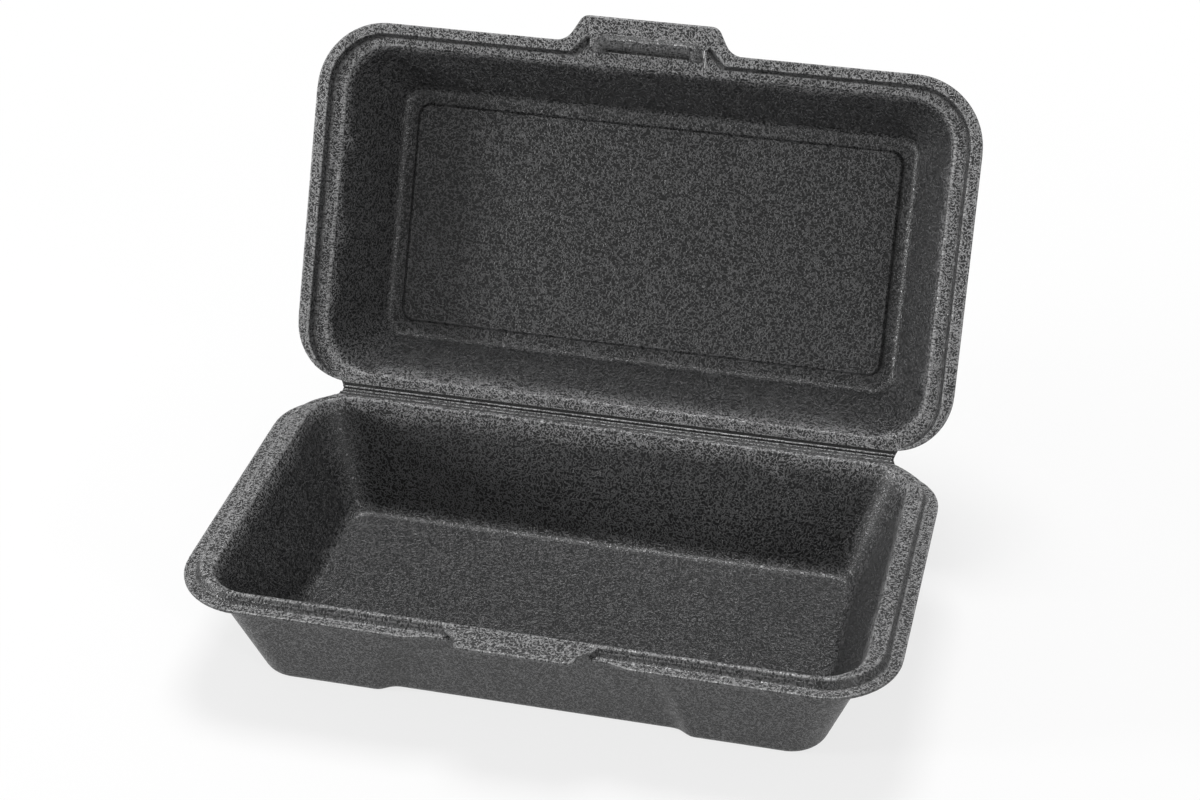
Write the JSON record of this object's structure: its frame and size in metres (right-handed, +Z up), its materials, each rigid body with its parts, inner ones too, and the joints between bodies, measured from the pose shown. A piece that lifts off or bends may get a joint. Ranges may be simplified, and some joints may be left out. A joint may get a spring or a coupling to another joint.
{
  "type": "foam clamshell container",
  "caption": "Hinged foam food container with a deep tray, a shallower lid, a pleated living hinge and a tongue-and-slot latch, standing open.",
  "frame": {"origin": "on the ground, on the tray's underside, below the middle of the rim", "axes": "+X along the hinge, +Y from the latch to the hinge, +Z up"},
  "size_m": [0.24, 0.2142, 0.1734],
  "materials": {
    "foam": "satin pressed foam skin with a fine leathery grain"
  },
  "bodies": {
    "tray": {"tray": "foam"},
    "lid": {"lid": "foam"}
  },
  "joints": [
    {"name": "lid_hinge", "type": "hinge", "parent": "tray", "child": "lid", "pos_m": [0, 0.0673, 0.04325], "axis": [-1, 0, 0], "range_deg": [-115.5, 64.5]}
  ]
}
